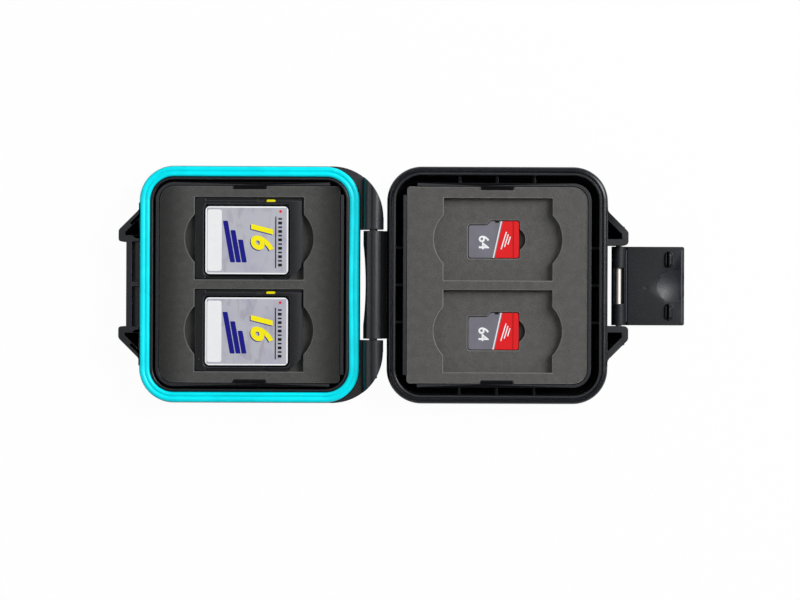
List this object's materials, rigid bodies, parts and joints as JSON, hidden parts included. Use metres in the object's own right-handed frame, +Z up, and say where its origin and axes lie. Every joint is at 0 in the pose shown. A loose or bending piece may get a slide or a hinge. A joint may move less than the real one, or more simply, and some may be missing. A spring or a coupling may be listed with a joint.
{
  "type": "memory card case",
  "caption": "Hinged hard case for memory cards, open flat, with a cyan gasket, a snap latch and foam trays that hold full-size and small cards.",
  "frame": {"origin": "centre of the bounding box on the surface that the open case lies on", "axes": "+X from the base (gasket half) to the lid and its latch, +Y along the hinge, +Z up towards the open side"},
  "size_m": [0.1688, 0.0704, 0.0146],
  "materials": {
    "shell_plastic": "moulded, fine texture",
    "latch_plastic": "moulded, satin",
    "gasket_rubber": "smooth cyan silicone",
    "pin_steel": "ground steel",
    "foam": "closed-cell foam sheet",
    "card_plastic": "moulded, fine texture",
    "contacts": "gold-plated",
    "sd_label": "printed silver film",
    "lock_tab": "yellow moulded plastic",
    "micro_body": "printed grey and red"
  },
  "bodies": {
    "base": {"base_shell": "shell_plastic", "gasket": "gasket_rubber", "hinge_pin": "pin_steel", "base_foam_top": "foam", "base_foam_middle": "foam", "base_foam_back": "foam"},
    "lid": {"lid_shell": "shell_plastic", "latch_pin": "pin_steel", "lid_foam_top": "foam", "lid_foam_middle": "foam", "lid_foam_back": "foam"},
    "latch": {"latch": "latch_plastic"},
    "sd_card_1": {"sd_front_1": "card_plastic", "sd_back_1": "card_plastic", "sd_board_1": "contacts", "sd_label_1": "sd_label"},
    "lock_tab_1": {"sd_lock_tab_1": "lock_tab"},
    "micro_card_1": {"microsd_1": "micro_body", "microsd_pads_1": "contacts"},
    "sd_card_2": {"sd_front_2": "card_plastic", "sd_back_2": "card_plastic", "sd_board_2": "contacts", "sd_label_2": "sd_label"},
    "lock_tab_2": {"sd_lock_tab_2": "lock_tab"},
    "micro_card_2": {"microsd_2": "micro_body", "microsd_pads_2": "contacts"}
  },
  "joints": [
    {"name": "lid_hinge", "type": "hinge", "parent": "base", "child": "lid", "pos_m": [-0.0087, 0, 0.0116], "axis": [0, -1, 0], "range_deg": [0, 180]},
    {"name": "latch_hinge", "type": "hinge", "parent": "lid", "child": "latch", "pos_m": [0.0647, 0, 0.0029], "axis": [0, -1, 0], "range_deg": [0, 90]},
    {"name": "sd_card_1_lift", "type": "slide", "parent": "base", "child": "sd_card_1", "axis": [0, 0, 1], "range_m": [0, 0.0035]},
    {"name": "lock_tab_1_slide", "type": "slide", "parent": "sd_card_1", "child": "lock_tab_1", "axis": [-1, 0, 0], "range_m": [0, 0.0026]},
    {"name": "micro_card_1_lift", "type": "slide", "parent": "lid", "child": "micro_card_1", "axis": [0, 0, 1], "range_m": [0, 0.0025]},
    {"name": "sd_card_2_lift", "type": "slide", "parent": "base", "child": "sd_card_2", "axis": [0, 0, 1], "range_m": [0, 0.0035]},
    {"name": "lock_tab_2_slide", "type": "slide", "parent": "sd_card_2", "child": "lock_tab_2", "axis": [-1, 0, 0], "range_m": [0, 0.0026]},
    {"name": "micro_card_2_lift", "type": "slide", "parent": "lid", "child": "micro_card_2", "axis": [0, 0, 1], "range_m": [0, 0.0025]}
  ]
}
